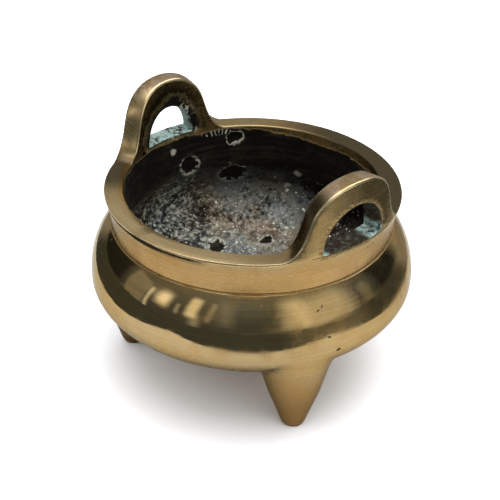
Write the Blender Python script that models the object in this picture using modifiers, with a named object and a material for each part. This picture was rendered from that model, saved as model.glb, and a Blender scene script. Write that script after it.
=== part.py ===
"""Bronze tripod censer, cast in one: a thick flat lip on a short flared neck, a squat round
belly, two upright loop handles that grow out of the lip, and three short conical feet.

Metres, +Z up. The origin is on the floor, on the vessel's axis. The handles stand at +X and -X,
and the feet are a third of a turn apart."""

import math

import bmesh
import bpy
from mathutils import Matrix

# Lip
LIP_OUTER_RADIUS = 0.0580
LIP_WIDTH = 0.0078
LIP_HEIGHT = 0.0792

# Neck, from the lip's outer edge down to the crease where the belly starts
CREASE_RADIUS = 0.0552
CREASE_HEIGHT = 0.0650
NECK_HOLLOW = 0.0006
NECK_WALL = 0.0062

# Belly
BELLY_RADIUS = 0.0642
BELLY_HEIGHT = 0.0425
BELLY_WALL = 0.0045
SHOULDER_POWER = 2.3
UNDERSIDE_HEIGHT = 0.0200
UNDERSIDE_POWER = 2.1
FLOOR_WALL = 0.0050

# Loop handles: a flared arch round a half-oval opening, which is smaller in the left handle
HANDLE_AZIMUTHS_DEG = (-1.8, 181.8)
HANDLE_RISE = 0.0266
HANDLE_HALF_WIDTH = 0.0208
HANDLE_ARCH_START = 0.0068
HANDLE_ARCH_POWER = 2.25
HANDLE_FLARE = 0.0105
HANDLE_FLARE_RISE = 0.0150
OPENING_HALF_WIDTHS = (0.0143, 0.0130)
OPENING_RISES = (0.0160, 0.0135)
OPENING_SILL = 0.0010

# Feet: flat soles, then cones that steepen as they run up into the belly
FOOT_AZIMUTHS_DEG = (-22.0, 99.0, 221.0)
FOOT_CIRCLE_RADIUS = 0.0496
SOLE_RADIUS = 0.0031
SOLE_ROUND = 0.0011
FOOT_SLOPE = 3.2
FOOT_STEEPENS_FROM = 0.0090
FOOT_STEEPENING = 670.0
FOOT_TOP_RADIUS = 0.0130

# Facets
TURN_STEPS = 84
NECK_STEPS = 3
BELLY_STEPS = 9
ARCH_STEPS = 16
FOOT_TURN_STEPS = 28
FOOT_STEPS = 7
ROUND_STEPS = 2

# How far a cutter runs past the surface that it cuts
OVERRUN = 0.0300
MERGE = 0.00001


def clear_scene():
    """Remove every object that is already in the file."""
    for old in list(bpy.data.objects):
        bpy.data.objects.remove(old, do_unlink=True)


def make_collection(name):
    """Make a collection and link it to the scene."""
    collection = bpy.data.collections.new(name)
    bpy.context.scene.collection.children.link(collection)
    return collection


def bronze():
    """Polished yellow bronze."""
    material = bpy.data.materials.new("bronze")
    material.use_nodes = True
    shader = material.node_tree.nodes["Principled BSDF"]
    shader.inputs["Base Color"].default_value = (0.42, 0.28, 0.12, 1.0)
    shader.inputs["Metallic"].default_value = 1.0
    shader.inputs["Roughness"].default_value = 0.32
    return material


def superellipse(share, across, up, power):
    """Point at a share (0 to 1) of a quarter superellipse, from its side (0) to its top (1)."""
    angle = share * math.pi / 2
    x = across * max(math.cos(angle), 0.0) ** (2 / power)
    y = up * max(math.sin(angle), 0.0) ** (2 / power)
    return x, y


def arch(half_width, start, rise, power):
    """Right half of an arch (across, up), from its start height to its top."""
    points = []
    for step in range(ARCH_STEPS + 1):
        across, up = superellipse(step / ARCH_STEPS, half_width, rise - start, power)
        points.append((across, start + up))
    return points


def neck_outside(top):
    """Neck's outer points (radius, height), from a top height down to just above the crease."""
    rise = LIP_HEIGHT - CREASE_HEIGHT
    points = [(LIP_OUTER_RADIUS, top)]
    for step in range(NECK_STEPS):
        share = 1 - step / NECK_STEPS
        flare = (LIP_OUTER_RADIUS - CREASE_RADIUS) * share
        hollow = NECK_HOLLOW * math.sin(share * math.pi)
        points.append((CREASE_RADIUS + flare - hollow, CREASE_HEIGHT + rise * share))
    return points


def belly_outside():
    """Belly's outer points (radius, height), from the crease down and in to the axis.

    The shoulder is the part of a superellipse between the crease and the belly's middle."""
    rise = CREASE_HEIGHT - BELLY_HEIGHT
    cut_off = 1 - (CREASE_RADIUS / BELLY_RADIUS) ** SHOULDER_POWER
    half_height = rise / cut_off ** (1 / SHOULDER_POWER)
    points = []
    for step in range(BELLY_STEPS):
        up = rise * math.cos(step / BELLY_STEPS * math.pi / 2)
        share = 1 - (up / half_height) ** SHOULDER_POWER
        points.append((BELLY_RADIUS * share ** (1 / SHOULDER_POWER), BELLY_HEIGHT + up))
    drop = BELLY_HEIGHT - UNDERSIDE_HEIGHT
    for step in range(BELLY_STEPS):
        across, down = superellipse(step / BELLY_STEPS, BELLY_RADIUS, drop, UNDERSIDE_POWER)
        points.append((across, BELLY_HEIGHT - down))
    points.append((0.0, UNDERSIDE_HEIGHT))
    return points


def hollow_inside(top):
    """Hollow's points (radius, height), from a top height down the throat and in to the axis.

    The throat widens into the belly along an S-curve."""
    mouth = LIP_OUTER_RADIUS - LIP_WIDTH
    throat = CREASE_RADIUS - NECK_WALL
    across = BELLY_RADIUS - BELLY_WALL
    floor = UNDERSIDE_HEIGHT + FLOOR_WALL
    points = [(0.0, top), (mouth, top), (mouth, LIP_HEIGHT), (throat, CREASE_HEIGHT)]
    for step in range(1, BELLY_STEPS + 1):
        share = step / BELLY_STEPS
        out = (across - throat) * (1 - math.cos(share * math.pi)) / 2
        points.append((throat + out, CREASE_HEIGHT + (BELLY_HEIGHT - CREASE_HEIGHT) * share))
    for step in range(1, BELLY_STEPS):
        out, down = superellipse(step / BELLY_STEPS, across, BELLY_HEIGHT - floor, UNDERSIDE_POWER)
        points.append((out, BELLY_HEIGHT - down))
    points.append((0.0, floor))
    return points


def foot_height(radius):
    """Height at which a foot's cone has a radius."""
    steep = max(radius - FOOT_STEEPENS_FROM, 0.0)
    return FOOT_SLOPE * (radius - SOLE_RADIUS - SOLE_ROUND) + FOOT_STEEPENING * steep**2


def foot_outside():
    """Foot's points (radius, height) about its own axis, from its top down to its sole."""
    start = SOLE_RADIUS + SOLE_ROUND + SOLE_ROUND / FOOT_SLOPE
    points = [(0.0, foot_height(FOOT_TOP_RADIUS))]
    for step in range(FOOT_STEPS + 1):
        radius = FOOT_TOP_RADIUS + (start - FOOT_TOP_RADIUS) * step / FOOT_STEPS
        points.append((radius, foot_height(radius)))
    for step in range(1, ROUND_STEPS + 1):
        turned = step / ROUND_STEPS * math.pi / 2
        radius = SOLE_RADIUS + (start - SOLE_RADIUS) * math.cos(turned)
        points.append((radius, SOLE_ROUND * (1 - math.sin(turned))))
    points.append((0.0, 0.0))
    return points


def turn(name, profile, steps, collection):
    """Turn a profile (radius, height), which runs down its outer side, about Z into an object."""
    sketch = bmesh.new()
    rail = [sketch.verts.new((radius, 0.0, height)) for radius, height in profile]
    for start, end in zip(rail, rail[1:]):
        sketch.edges.new((start, end))
    mesh = bpy.data.meshes.new(name)
    sketch.to_mesh(mesh)
    sketch.free()
    obj = bpy.data.objects.new(name, mesh)
    collection.objects.link(obj)
    screw = obj.modifiers.new("turn", "SCREW")
    screw.axis = "Z"
    screw.steps = steps
    screw.render_steps = steps
    screw.use_merge_vertices = True
    screw.merge_threshold = MERGE
    screw.use_smooth_shade = False
    return obj


def radial_prism(name, outline, azimuth_deg, near, far, collection):
    """Prism over an outline (across, height) of one handle, along a radius of the vessel.

    Its sides keep to the radii, and meet the outline at the lip's outer radius."""
    sketch = bmesh.new()
    scale = near / LIP_OUTER_RADIUS
    corners = [sketch.verts.new((near, across * scale, height)) for across, height in outline]
    face = sketch.faces.new(corners)
    for item in bmesh.ops.extrude_face_region(sketch, geom=[face])["geom"]:
        if isinstance(item, bmesh.types.BMVert):
            item.co = (far, item.co.y * far / near, item.co.z)
    bmesh.ops.recalc_face_normals(sketch, faces=sketch.faces)
    turned = Matrix.Rotation(math.radians(azimuth_deg), 3, "Z")
    bmesh.ops.rotate(sketch, verts=sketch.verts, matrix=turned)
    mesh = bpy.data.meshes.new(name)
    sketch.to_mesh(mesh)
    sketch.free()
    obj = bpy.data.objects.new(name, mesh)
    collection.objects.link(obj)
    return obj


def mirrored(half):
    """Whole outline from the right half of one whose last point is its top."""
    return half + [(-across, height) for across, height in reversed(half[:-1])]


def handle_half_width(up):
    """Handle's half width at a height above the lip: an arch, flared at its foot."""
    round_part = max(up - HANDLE_ARCH_START, 0.0) / (HANDLE_RISE - HANDLE_ARCH_START)
    side = (1 - round_part**HANDLE_ARCH_POWER) ** (1 / HANDLE_ARCH_POWER)
    flare = 1 - math.sqrt(1 - max(1 - up / HANDLE_FLARE_RISE, 0.0) ** 2)
    return HANDLE_HALF_WIDTH * side + HANDLE_FLARE * flare


def handle_prism(azimuth_deg, collection):
    """Prism over one handle's outline, on down past the lip."""
    half = [(handle_half_width(0.0), LIP_HEIGHT - OVERRUN)]
    for step in range(ARCH_STEPS + 1):
        up = HANDLE_RISE * (1 - math.cos(step / ARCH_STEPS * math.pi)) / 2
        half.append((handle_half_width(up), LIP_HEIGHT + up))
    near = LIP_OUTER_RADIUS - LIP_WIDTH - OVERRUN / 2
    far = LIP_OUTER_RADIUS + 2 * OVERRUN
    return radial_prism(f"handle_{azimuth_deg:g}", mirrored(half), azimuth_deg, near, far, collection)


def opening_cutter(azimuth_deg, half_width, rise, collection):
    """Half-oval hole through one handle."""
    side = arch(half_width, OPENING_SILL, OPENING_SILL + rise, 2.0)
    half = [(across, LIP_HEIGHT + up) for across, up in side]
    near = LIP_OUTER_RADIUS - LIP_WIDTH - OVERRUN / 2
    far = LIP_OUTER_RADIUS + OVERRUN
    return radial_prism(f"opening_{azimuth_deg:g}", mirrored(half), azimuth_deg, near, far, collection)


def use_boolean(obj, operation, tool):
    """Join a shape to an object or cut it away, with a Boolean, and hide the shape."""
    boolean = obj.modifiers.new(tool.name, "BOOLEAN")
    boolean.operation = operation
    boolean.solver = "EXACT"
    boolean.object = tool
    tool.hide_render = True
    tool.display_type = "WIRE"


def main():
    """Build the censer."""
    clear_scene()
    made = make_collection("bronze_tripod_censer")
    tools = make_collection("cutters_and_joined_shapes")
    top = LIP_HEIGHT + HANDLE_RISE + OVERRUN / 2

    censer = turn("censer", [(0.0, top), *neck_outside(top), *belly_outside()], TURN_STEPS, made)
    censer.data.materials.append(bronze())
    for number, azimuth_deg in enumerate(FOOT_AZIMUTHS_DEG, start=1):
        foot = turn(f"foot_{number}", foot_outside(), FOOT_TURN_STEPS, tools)
        azimuth = math.radians(azimuth_deg)
        foot.location.x = FOOT_CIRCLE_RADIUS * math.cos(azimuth)
        foot.location.y = FOOT_CIRCLE_RADIUS * math.sin(azimuth)
        use_boolean(censer, "UNION", foot)
    hollow = turn("hollow", hollow_inside(top + OVERRUN), TURN_STEPS, tools)
    use_boolean(censer, "DIFFERENCE", hollow)

    wide = LIP_OUTER_RADIUS + OVERRUN
    disc = [(0.0, top + OVERRUN), (wide, top + OVERRUN), (wide, LIP_HEIGHT), (0.0, LIP_HEIGHT)]
    above_lip = turn("above_lip", disc, TURN_STEPS, tools)
    for azimuth_deg in HANDLE_AZIMUTHS_DEG:
        use_boolean(above_lip, "DIFFERENCE", handle_prism(azimuth_deg, tools))
    use_boolean(censer, "DIFFERENCE", above_lip)
    for azimuth_deg, half_width, rise in zip(HANDLE_AZIMUTHS_DEG, OPENING_HALF_WIDTHS, OPENING_RISES):
        opening = opening_cutter(azimuth_deg, half_width, rise, tools)
        use_boolean(censer, "DIFFERENCE", opening)


main()
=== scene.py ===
"""Looks of a bronze tripod censer.

One casting: a thick flat lip with two loop handles growing out of it, a short flared neck, a squat
belly and three conical feet. It is polished outside, sooted and crusted with ash inside, and has
verdigris on the sills of its handles."""

from __future__ import annotations

import logging
import math
from collections.abc import Callable, Mapping, Sequence
from dataclasses import dataclass, field
from enum import Enum
from typing import Any

import bmesh
import bpy
from mathutils import Matrix, Vector, kdtree, noise


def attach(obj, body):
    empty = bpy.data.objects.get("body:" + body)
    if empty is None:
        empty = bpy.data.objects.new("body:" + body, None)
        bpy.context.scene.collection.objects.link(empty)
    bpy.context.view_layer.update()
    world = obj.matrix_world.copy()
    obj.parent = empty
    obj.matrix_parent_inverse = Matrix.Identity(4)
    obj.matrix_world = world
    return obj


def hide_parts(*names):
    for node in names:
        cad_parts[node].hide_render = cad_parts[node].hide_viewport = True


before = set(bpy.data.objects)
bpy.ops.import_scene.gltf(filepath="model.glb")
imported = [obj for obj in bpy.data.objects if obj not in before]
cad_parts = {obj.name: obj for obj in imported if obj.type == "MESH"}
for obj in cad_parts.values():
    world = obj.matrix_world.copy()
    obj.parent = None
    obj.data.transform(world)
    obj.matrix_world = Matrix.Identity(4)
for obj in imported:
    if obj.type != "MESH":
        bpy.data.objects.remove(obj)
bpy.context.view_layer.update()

log = logging.getLogger("censer")

MM = 0.001
FAR_MM = 20.0

Point2 = tuple[float, float]
Colour = tuple[float, float, float]


class Face(Enum):
    """Which face of the vessel's wall a mark lies on."""

    OUTER = "outer"
    INNER = "inner"


@dataclass(frozen=True)
class Mark:
    """A small oval mark on the wall: a pit, a spot of crust or a hollow left by the casting."""

    face: Face
    azimuth_deg: float
    height: float
    half_width: float
    half_height: float
    lean_deg: float = 0.0


class Sheet:
    """A node tree, with one way to add a node to it."""

    def __init__(self, tree: bpy.types.NodeTree) -> None:
        """Keep the tree and empty it."""
        self.tree = tree
        tree.nodes.clear()

    def node(
        self,
        kind: str,
        settings: Mapping[str, Any] | None = None,
        values: Mapping[str | int, Any] | None = None,
    ) -> bpy.types.Node:
        """Add a node.

        Args:
            kind: The node's type.
            settings: Its own properties, such as an operation.
            values: Numbers, colours or links of its sockets, by name or place.

        Returns:
            The new node.
        """
        made = self.tree.nodes.new(kind)
        for name, setting in (settings or {}).items():
            setattr(made, name, setting)
        for name, value in (values or {}).items():
            socket = made.inputs[name]
            if isinstance(value, Field):
                value = value.socket
            if isinstance(value, bpy.types.NodeSocket):
                self.tree.links.new(value, socket)
            elif socket.type == "RGBA":
                socket.default_value = (*value, 1.0)
            else:
                socket.default_value = value
        return made

    def field(
        self,
        kind: str,
        settings: Mapping[str, Any],
        values: Mapping[str | int, Any],
        out: str | int = 0,
    ) -> Field:
        """Add a node and take one of its outputs as a number."""
        return Field(self, self.node(kind, settings, values).outputs[out])

    def maths(self, operation: str, *values: Field | float) -> Field:
        """Add a Math node on up to three values."""
        return self.field("ShaderNodeMath", {"operation": operation}, dict(enumerate(values)))

    def vector(self, operation: str, *values: Any) -> bpy.types.NodeSocket:
        """Add a Vector Math node on up to two vectors."""
        made = self.node("ShaderNodeVectorMath", {"operation": operation}, dict(enumerate(values)))
        return made.outputs[0]

    def measure(self, operation: str, *values: Any) -> Field:
        """Add a Vector Math node whose result is one number."""
        return self.field("ShaderNodeVectorMath", {"operation": operation}, dict(enumerate(values)), 1)

    def place(self, kind: str = "Object") -> bpy.types.NodeSocket:
        """Coordinates of the point that is shaded."""
        return self.node("ShaderNodeTexCoord").outputs[kind]

    def side_of(self, place: Any, right: Vector, back: Vector) -> Field:
        """Side angle of a place in degrees, from the camera round to the picture's right."""
        across, front = (self.measure("DOT_PRODUCT", place, way) for way in (right, back))
        return self.angle(across, front)

    def angle(self, opposite: Field, beside: Field) -> Field:
        """Angle in degrees whose tangent is one number over another."""
        return self.maths("ARCTAN2", opposite, beside) * math.degrees(1)

    def close(self, kind: str, surface: bpy.types.Node) -> None:
        """End the tree with its output node."""
        self.node(kind, values={"Surface": surface.outputs[0]})

    def split(self, vector: bpy.types.NodeSocket) -> tuple[Field, Field, Field]:
        """Take a vector's three numbers apart."""
        parts = self.node("ShaderNodeSeparateXYZ", values={0: vector}).outputs
        return Field(self, parts[0]), Field(self, parts[1]), Field(self, parts[2])

    def joined(self, *values: Field | float) -> bpy.types.NodeSocket:
        """Put three numbers together into a vector."""
        return self.node("ShaderNodeCombineXYZ", values=dict(enumerate(values))).outputs[0]

    def attribute(self, name: str) -> Field:
        """Read a number that the mesh carries at its points."""
        return self.field("ShaderNodeAttribute", {"attribute_name": name}, {}, "Fac")

    def noise(self, place: Any, scale: float, detail: float = 3.0, rough: float = 0.55) -> Field:
        """Soft noise from 0 to 1.

        Args:
            place: Where to read it.
            scale: How many features fit in a unit of the place.
            detail: Number of finer layers.
            rough: How strong the finer layers are.

        Returns:
            The noise.
        """
        values = {"Vector": place, "Scale": scale, "Detail": detail, "Roughness": rough}
        return self.field("ShaderNodeTexNoise", {}, values, "Fac")

    def drift(self, place: Any, scale: float, reach: float) -> bpy.types.NodeSocket:
        """Move a place about by noise, so that outlines drawn there are uneven."""
        values = {"Vector": place, "Scale": scale, "Detail": 2.0}
        wander = self.node("ShaderNodeTexNoise", {}, values).outputs["Color"]
        centred = self.vector("SUBTRACT", wander, (0.5, 0.5, 0.5))
        return self.vector("ADD", place, self.vector("MULTIPLY", centred, (reach, reach, reach)))

    def grains(self, place: Any, scale: float, size: float, share: float) -> Field:
        """Scattered round grains.

        Args:
            place: Where to read them.
            scale: Cells in a metre.
            size: Largest grain's radius, as a share of a cell.
            share: How many of the cells hold a grain.

        Returns:
            1 on a grain and 0 off it.
        """
        cells = self.node("ShaderNodeTexVoronoi", {}, {"Vector": place, "Scale": scale})
        away = Field(self, cells.outputs["Distance"])
        draw, other, _ = self.split(cells.outputs["Color"])
        radius = (other * 0.7 + 0.3) * size
        return away.fall(radius * 0.6, radius) * draw.ease(1 - share, 1.02 - share)

    def mix(self, factor: Field | float, first: Any, second: Any) -> bpy.types.NodeSocket:
        """Blend two colours."""
        values = {0: factor, 6: first, 7: second}
        return self.node("ShaderNodeMix", {"data_type": "RGBA"}, values).outputs[2]

    def shade(self, colour: Any, factor: Field) -> bpy.types.NodeSocket:
        """Make a colour lighter or darker by a number."""
        return self.vector("MULTIPLY", colour, self.joined(factor, factor, factor))


@dataclass(frozen=True)
class Field:
    """A number that varies over a surface, held by a socket; Python's operators add Math nodes."""

    sheet: Sheet
    socket: bpy.types.NodeSocket

    def __add__(self, other: Field | float) -> Field:
        """Sum."""
        return self.sheet.maths("ADD", self, other)

    __radd__ = __add__

    def __sub__(self, other: Field | float) -> Field:
        """Difference."""
        return self.sheet.maths("SUBTRACT", self, other)

    def __rsub__(self, other: float) -> Field:
        """Difference from a plain number."""
        return self.sheet.maths("SUBTRACT", other, self)

    def __mul__(self, other: Field | float) -> Field:
        """Product."""
        return self.sheet.maths("MULTIPLY", self, other)

    __rmul__ = __mul__

    def __truediv__(self, other: Field | float) -> Field:
        """Quotient."""
        return self.sheet.maths("DIVIDE", self, other)

    def __rtruediv__(self, other: float) -> Field:
        """Quotient of a plain number."""
        return self.sheet.maths("DIVIDE", other, self)

    def __abs__(self) -> Field:
        """Size without its sign."""
        return self.sheet.maths("ABSOLUTE", self)

    def least(self, other: Field | float) -> Field:
        """Lower of two numbers."""
        return self.sheet.maths("MINIMUM", self, other)

    def most(self, other: Field | float) -> Field:
        """Higher of two numbers."""
        return self.sheet.maths("MAXIMUM", self, other)

    def ease(self, low: Field | float, high: Field | float) -> Field:
        """Rise smoothly from 0 at a low bound to 1 at a high one."""
        values = {"Value": self, "From Min": low, "From Max": high}
        return self.sheet.field("ShaderNodeMapRange", {"interpolation_type": "SMOOTHSTEP"}, values)

    def fall(self, low: Field | float, high: Field | float) -> Field:
        """Fall smoothly from 1 at a low bound to 0 at a high one."""
        return 1 - self.ease(low, high)

    def within(self, low: float, full: float, waning: Field | float, high: Field | float) -> Field:
        """Rise from 0 to 1 between two bounds, and fall back to 0 between two higher ones."""
        return self.ease(low, full) * self.fall(waning, high)

    def about(self, centre: float, full: float, none: float) -> Field:
        """Fall from 1 to 0 between two distances from a centre."""
        return abs(self - centre).fall(full, none)

    def sway(self, reach: float) -> Field:
        """Take a noise from 0 to 1 as a swing to both sides of 0."""
        return (self - 0.5) * reach


def new_material(name: str) -> tuple[bpy.types.Material, Sheet]:
    """Make a material with an empty node tree.

    Args:
        name: The material's name.

    Returns:
        The material and its tree.
    """
    material = bpy.data.materials.new(name)
    material.use_nodes = True
    return material, Sheet(material.node_tree)


def smoothstep(low: float, high: float, value: float) -> float:
    """Ease a value from 0 at a low bound to 1 at a high one.

    Args:
        low: Where the result is 0.
        high: Where the result is 1.
        value: The value to ease.

    Returns:
        A share from 0 to 1.
    """
    share = min(max((value - low) / (high - low), 0.0), 1.0)
    return share * share * (3 - 2 * share)


def deselect() -> None:
    """Leave nothing selected, so that an operator acts on new work alone."""
    bpy.ops.object.select_all(action="DESELECT")


def only(piece: bpy.types.Object) -> None:
    """Select one object alone and make it active."""
    deselect()
    piece.select_set(True)
    bpy.context.view_layer.objects.active = piece


def weld(threshold: float, turn_out: bool = False) -> None:
    """Merge the active mesh's points that lie close together.

    Args:
        threshold: Largest gap that is closed.
        turn_out: Whether its faces are then turned to look outward.
    """
    bpy.ops.object.mode_set(mode="EDIT")
    bpy.ops.mesh.select_all(action="SELECT")
    bpy.ops.mesh.remove_doubles(threshold=threshold)
    if turn_out:
        bpy.ops.mesh.normals_make_consistent(inside=False)
    bpy.ops.object.mode_set(mode="OBJECT")


def flat_sheet(name: str, outlines: Sequence[Sequence[Point2]]) -> bpy.types.Object:
    """Make a filled 2D curve.

    Args:
        name: Its name.
        outlines: Closed outlines: the outer one, then those of its holes.

    Returns:
        The curve's object.
    """
    curve = bpy.data.curves.new(name, "CURVE")
    curve.dimensions = "2D"
    curve.fill_mode = "BOTH"
    for outline in outlines:
        spline = curve.splines.new("POLY")
        spline.points.add(len(outline) - 1)
        for point, (across, up) in zip(spline.points, outline):
            point.co = (across, up, 0.0, 1.0)
        spline.use_cyclic_u = True
    piece = bpy.data.objects.new(name, curve)
    bpy.context.scene.collection.objects.link(piece)
    return piece


def spoke(azimuth: float, radius: float = 1.0) -> Vector:
    """Level vector away from the axis, at an azimuth in radians."""
    return Vector((math.cos(azimuth) * radius, math.sin(azimuth) * radius, 0.0))


@dataclass
class Handle:
    """One loop handle: where it stands and how large its opening is."""

    azimuth_deg: float
    opening_half_width: float
    opening_rise: float


@dataclass
class Casting:
    """The censer's one casting, finer than its solid: rounded edges, blended feet, ash crust."""

    lip_radius: float = 58.0 * MM
    lip_width: float = 7.8 * MM
    lip_height: float = 79.2 * MM
    crease_radius: float = 55.2 * MM
    crease_height: float = 65.0 * MM
    neck_hollow: float = 0.6 * MM
    neck_wall: float = 6.2 * MM
    belly_radius: float = 64.2 * MM
    belly_height: float = 42.5 * MM
    belly_wall: float = 4.5 * MM
    shoulder_power: float = 2.3
    underside_height: float = 20.0 * MM
    underside_power: float = 2.1
    floor_wall: float = 5.0 * MM

    handle_rise: float = 26.6 * MM
    handle_half_width: float = 20.8 * MM
    handle_arch_start: float = 6.8 * MM
    handle_arch_power: float = 2.25
    handle_flare: float = 10.5 * MM
    handle_flare_rise: float = 15.0 * MM
    opening_sill: float = 1.0 * MM
    handles: list[Handle] = field(
        default_factory=lambda: [
            Handle(-1.8, 14.3 * MM, 16.0 * MM),
            Handle(181.8, 13.0 * MM, 13.5 * MM),
        ]
    )

    foot_azimuths_deg: tuple[float, ...] = (-22.0, 99.0, 221.0)
    foot_circle_radius: float = 49.6 * MM
    sole_radius: float = 3.1 * MM
    sole_round: float = 1.4 * MM
    foot_slope: float = 3.2
    foot_steepens_from: float = 9.0 * MM
    foot_steepening: float = 670.0
    foot_blend: float = 26.0 * MM
    foot_crowding: float = 0.2

    edge_round: float = 2.2 * MM
    lip_edge_share: float = 0.3
    handle_edge_share: float = 0.5
    opening_edge_share: float = 0.3
    hollow_depth: float = 0.7 * MM
    hollow_rim: float = 0.25 * MM
    hollows: tuple[Mark, ...] = (
        Mark(Face.INNER, 171.0, 64.2 * MM, 4.4 * MM, 4.9 * MM, -6.0),
        Mark(Face.INNER, 147.5, 55.0 * MM, 6.0 * MM, 6.8 * MM, 10.0),
        Mark(Face.INNER, 147.0, 74.0 * MM, 3.6 * MM, 2.9 * MM),
        Mark(Face.INNER, 161.5, 28.6 * MM, 4.6 * MM, 4.2 * MM),
        Mark(Face.INNER, 128.5, 29.2 * MM, 3.0 * MM, 2.6 * MM),
        Mark(Face.INNER, 20.0, 55.0 * MM, 5.0 * MM, 4.4 * MM, 8.0),
        Mark(Face.INNER, -70.0, 60.0 * MM, 4.6 * MM, 4.0 * MM),
    )
    lap_from_deg: float = -118.0
    lap_to_deg: float = -60.0
    lap_below_lip: float = 1.35 * MM
    lap_depth: float = 0.6 * MM
    lap_rows: tuple[float, ...] = (2.6 * MM, 2.05 * MM, 1.7 * MM, 1.35 * MM, 1.0 * MM, 0.75 * MM)
    columns: int = 192
    seam_deg: float = -90.0
    trim: float = 6.0 * MM
    neck_row: float = 1.6 * MM
    outline_steps: int = 56
    opening_steps: int = 30
    merge: float = 0.00002
    shoulder_steps: int = 60
    hollow_steps: int = 160
    throat_steps: int = 80
    underside_steps: int = 240
    crust_grain: float = 7.0 * MM
    crisp_deg: float = 38.0

    def handle_centre(self, handle: Handle) -> float:
        """Distance of a handle's middle round the lip, in the unrolled band."""
        return math.radians(handle.azimuth_deg) * self.lip_radius

    def half_width(self, up: float) -> float:
        """Handle's half width at a height above the lip: an arch, flared at its foot."""
        round_part = max(up - self.handle_arch_start, 0.0) / (self.handle_rise - self.handle_arch_start)
        power = self.handle_arch_power
        side = max(1 - round_part**power, 0.0) ** (1 / power)
        flare = 1 - math.sqrt(1 - max(1 - up / self.handle_flare_rise, 0.0) ** 2)
        return self.handle_half_width * side + self.handle_flare * flare

    def handle_outline(self, handle: Handle) -> list[Point2]:
        """Draw a handle's outline in the unrolled band.

        Args:
            handle: The handle.

        Returns:
            Points from its left foot over to its right one.
        """
        centre = self.handle_centre(handle)
        half = []
        for step in range(self.outline_steps + 1):
            up = self.handle_rise * (1 - math.cos(step / self.outline_steps * math.pi)) / 2
            half.append((self.half_width(up), self.lip_height + up))
        left = [(centre - across, height) for across, height in half]
        right = [(centre + across, height) for across, height in reversed(half[:-1])]
        return left + right

    def opening_outline(self, handle: Handle) -> list[Point2]:
        """Draw the outline of a handle's opening: a half oval on a flat sill.

        Args:
            handle: The handle.

        Returns:
            Points from the oval's right end round to its left one.
        """
        centre = self.handle_centre(handle)
        sill = self.lip_height + self.opening_sill
        points = []
        for step in range(self.opening_steps + 1):
            turned = step / self.opening_steps * math.pi
            across = handle.opening_half_width * math.cos(turned)
            points.append((centre + across, sill + handle.opening_rise * math.sin(turned)))
        return points

    def band_ends(self) -> Point2:
        """Where the unrolled band starts and ends."""
        start = math.radians(self.seam_deg) * self.lip_radius
        return start, start + 2 * math.pi * self.lip_radius

    def band_outlines(self) -> list[list[Point2]]:
        """Closed outlines of the unrolled neck, lip and handles: the band, then the openings."""
        start, end = self.band_ends()
        low = self.crease_height - self.trim
        edge = [(start - self.trim, low), (start - self.trim, self.lip_height)]
        for handle in self.handles:
            edge += self.handle_outline(handle)
        edge += [(end + self.trim, self.lip_height), (end + self.trim, low)]
        return [edge] + [self.opening_outline(handle) for handle in self.handles]

    def flat_band(self) -> bpy.types.Object:
        """Make the unrolled band as a flat plate with rounded edges.

        Returns:
            A mesh object: distance round in X, height in Y and thickness in Z.
        """
        band = flat_sheet("band", self.band_outlines())
        band.data.extrude = self.lip_width / 2 - self.edge_round
        band.data.bevel_depth = self.edge_round
        band.data.bevel_resolution = 3
        band.data.offset = -self.edge_round
        only(band)
        bpy.ops.object.convert(target="MESH")
        weld(self.merge / 4)
        return bpy.context.view_layer.objects.active

    def outline_tree(self, outline: Sequence[Point2], pitch: float = 0.06 * MM) -> kdtree.KDTree:
        """Points close together along a closed outline, for finding the nearest one.

        Args:
            outline: The outline's corners.
            pitch: Largest gap between two points.

        Returns:
            A balanced tree of the points, in the XY plane.
        """
        places = []
        for first, second in zip(outline, [*outline[1:], outline[0]]):
            span = Vector(second) - Vector(first)
            count = max(math.ceil(span.length / pitch), 1)
            places += [Vector(first) + span * (step / count) for step in range(count)]
        tree = kdtree.KDTree(len(places))
        for number, place in enumerate(places):
            tree.insert((place.x, place.y, 0.0), number)
        tree.balance()
        return tree

    def sharpen_lip(self, band: bpy.types.Object, trees: Sequence[kdtree.KDTree]) -> None:
        """Draw the plate's round edges in towards their corners, all but the handles' own.

        Args:
            band: The flat plate.
            trees: Points along the plate's outlines, its outer one first.
        """
        half = self.lip_width / 2
        for vert in band.data.vertices:
            flat = Vector((vert.co.x, vert.co.y, 0.0))
            found = [tree.find(flat) for tree in trees]
            place, _, distance = min(found, key=lambda item: item[2])
            if distance > self.edge_round * 1.02:
                continue
            share = self.opening_edge_share
            if place == found[0][0]:
                up = place.y - self.lip_height
                share = self.lip_edge_share
                share += (self.handle_edge_share - share) * smoothstep(0.5 * MM, 9 * MM, up)
            depth = half - abs(vert.co.z)
            moved = place + (flat - place) * share
            side = math.copysign(half - depth * share, vert.co.z)
            vert.co = (moved.x, moved.y, side)

    def cut_grid(self, band: bpy.types.Object) -> None:
        """Cut the plate into columns and rows, so that it can be bent, and trim its ends.

        Args:
            band: The flat plate.
        """
        start, end = self.band_ends()
        pitch = (end - start) / self.columns
        rows = math.ceil((self.lip_height - self.crease_height) / self.neck_row)
        heights = [
            self.crease_height + (self.lip_height - self.edge_round - self.crease_height) * step / rows
            for step in range(1, rows)
        ]
        heights += [self.lip_height - down for down in self.lap_rows]
        above = math.ceil(self.handle_rise / self.neck_row)
        heights += [self.lip_height + self.handle_rise * step / above for step in range(1, above)]
        plate = bmesh.new()
        plate.from_mesh(band.data)

        def cut(place: Sequence[float], normal: Sequence[float], clear: bool = False) -> None:
            """Cut the plate along a plane.

            Args:
                place: A point of the plane.
                normal: The plane's normal.
                clear: Whether what lies beyond it is dropped.
            """
            bmesh.ops.bisect_plane(
                plate,
                geom=plate.verts[:] + plate.edges[:] + plate.faces[:],
                dist=self.merge / 10,
                plane_co=place,
                plane_no=normal,
                clear_outer=clear,
            )

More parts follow.
